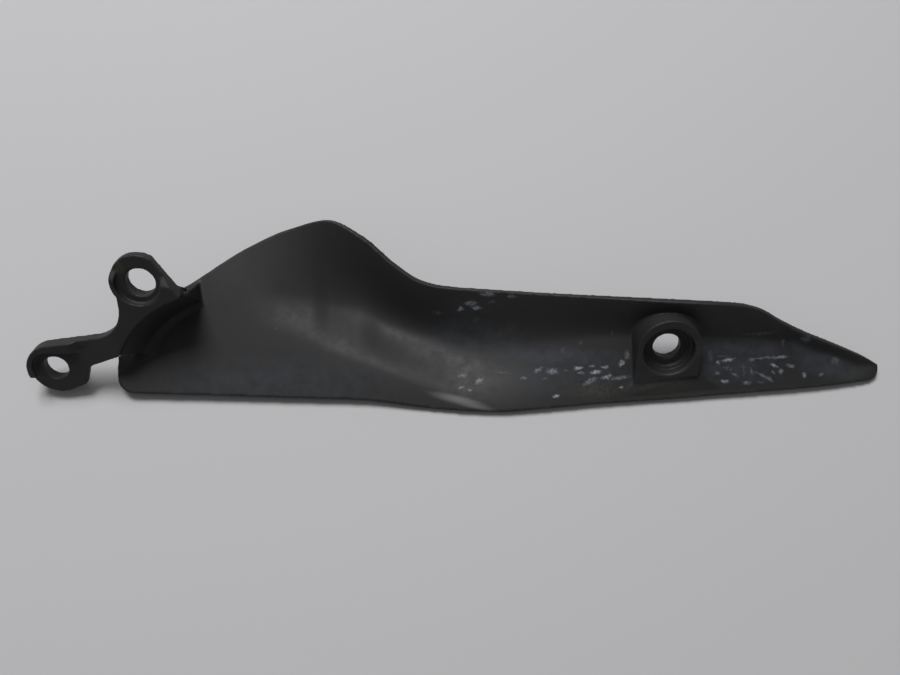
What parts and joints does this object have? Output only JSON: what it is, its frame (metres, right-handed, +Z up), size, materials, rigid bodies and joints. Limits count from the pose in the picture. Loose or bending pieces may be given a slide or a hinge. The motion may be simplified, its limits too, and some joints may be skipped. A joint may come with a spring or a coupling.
{
  "type": "motorcycle chain guard",
  "caption": "Long moulded chain guard with a flat front panel, a troughed rear, a two-eyed front bracket and a recessed rear bolt boss.",
  "frame": {"origin": "centre of the rear bolt's bore, on the flat seat behind the boss", "axes": "+X along the guard from the front bracket to the tail, +Z up with the guard lying at rest on its back edges, outer side up"},
  "size_m": [0.3606, 0.0787, 0.0515],
  "materials": {
    "guard_plastic": "fine satin grain, scuffed and dusty on the rear half"
  },
  "bodies": {
    "root": {"chain_guard": "guard_plastic"}
  },
  "joints": []
}
